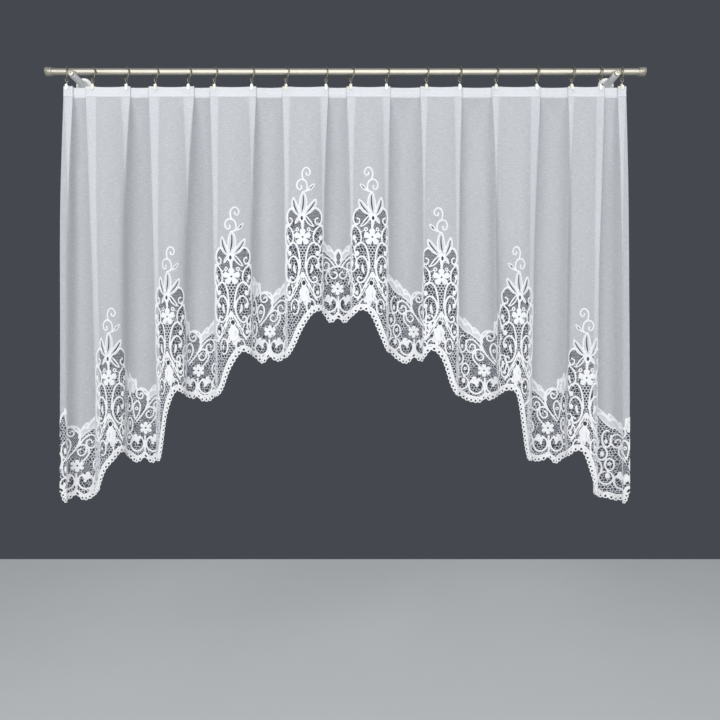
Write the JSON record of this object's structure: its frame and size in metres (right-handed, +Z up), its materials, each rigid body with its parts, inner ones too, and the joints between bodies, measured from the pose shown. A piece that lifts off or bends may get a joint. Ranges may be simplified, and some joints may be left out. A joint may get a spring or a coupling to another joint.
{
  "type": "net curtain on a rod",
  "caption": "Sheer white net curtain with a deep lace border and a stepped, scalloped hem, gathered in flat folds by clip rings on a straight metal wall rod.",
  "frame": {"origin": "on the wall plane, level with the rod's axis and halfway along the rod", "axes": "+X along the rod, to the right for someone in the room; +Y into the wall; +Z up"},
  "size_m": [1.798, 0.1245, 1.305],
  "materials": {
    "satin_nickel": "satin nickel plate, warm grey, fine drawn grain along the rod",
    "clip_plastic": "milky white to cream moulded plastic",
    "net_lace": "sheer white polyester net with fine crosswise ribbing, denser knitted lace at the hem",
    "tape_cloth": "closely woven white heading tape with stitch rows"
  },
  "bodies": {
    "root": {"rod": "satin_nickel", "end_cap_left": "satin_nickel", "end_cap_right": "satin_nickel", "bracket_left": "satin_nickel", "bracket_right": "satin_nickel", "thumb_screw_left": "satin_nickel", "thumb_screw_right": "satin_nickel", "ring_01": "satin_nickel", "ring_02": "satin_nickel", "ring_03": "satin_nickel", "ring_04": "satin_nickel", "ring_05": "satin_nickel", "ring_06": "satin_nickel", "ring_07": "satin_nickel", "ring_08": "satin_nickel", "ring_09": "satin_nickel", "ring_10": "satin_nickel", "ring_11": "satin_nickel", "ring_12": "satin_nickel", "ring_13": "satin_nickel", "ring_14": "satin_nickel", "ring_15": "satin_nickel", "ring_16": "satin_nickel", "ring_17": "satin_nickel", "ring_18": "satin_nickel", "clip_01": "clip_plastic", "clip_02": "clip_plastic", "clip_03": "clip_plastic", "clip_04": "clip_plastic", "clip_05": "clip_plastic", "clip_06": "clip_plastic", "clip_07": "clip_plastic", "clip_08": "clip_plastic", "clip_09": "clip_plastic", "clip_10": "clip_plastic", "clip_11": "clip_plastic", "clip_12": "clip_plastic", "clip_13": "clip_plastic", "clip_14": "clip_plastic", "clip_15": "clip_plastic", "clip_16": "clip_plastic", "clip_17": "clip_plastic", "clip_18": "clip_plastic", "curtain": "net_lace", "heading_tape": "tape_cloth"}
  },
  "joints": []
}
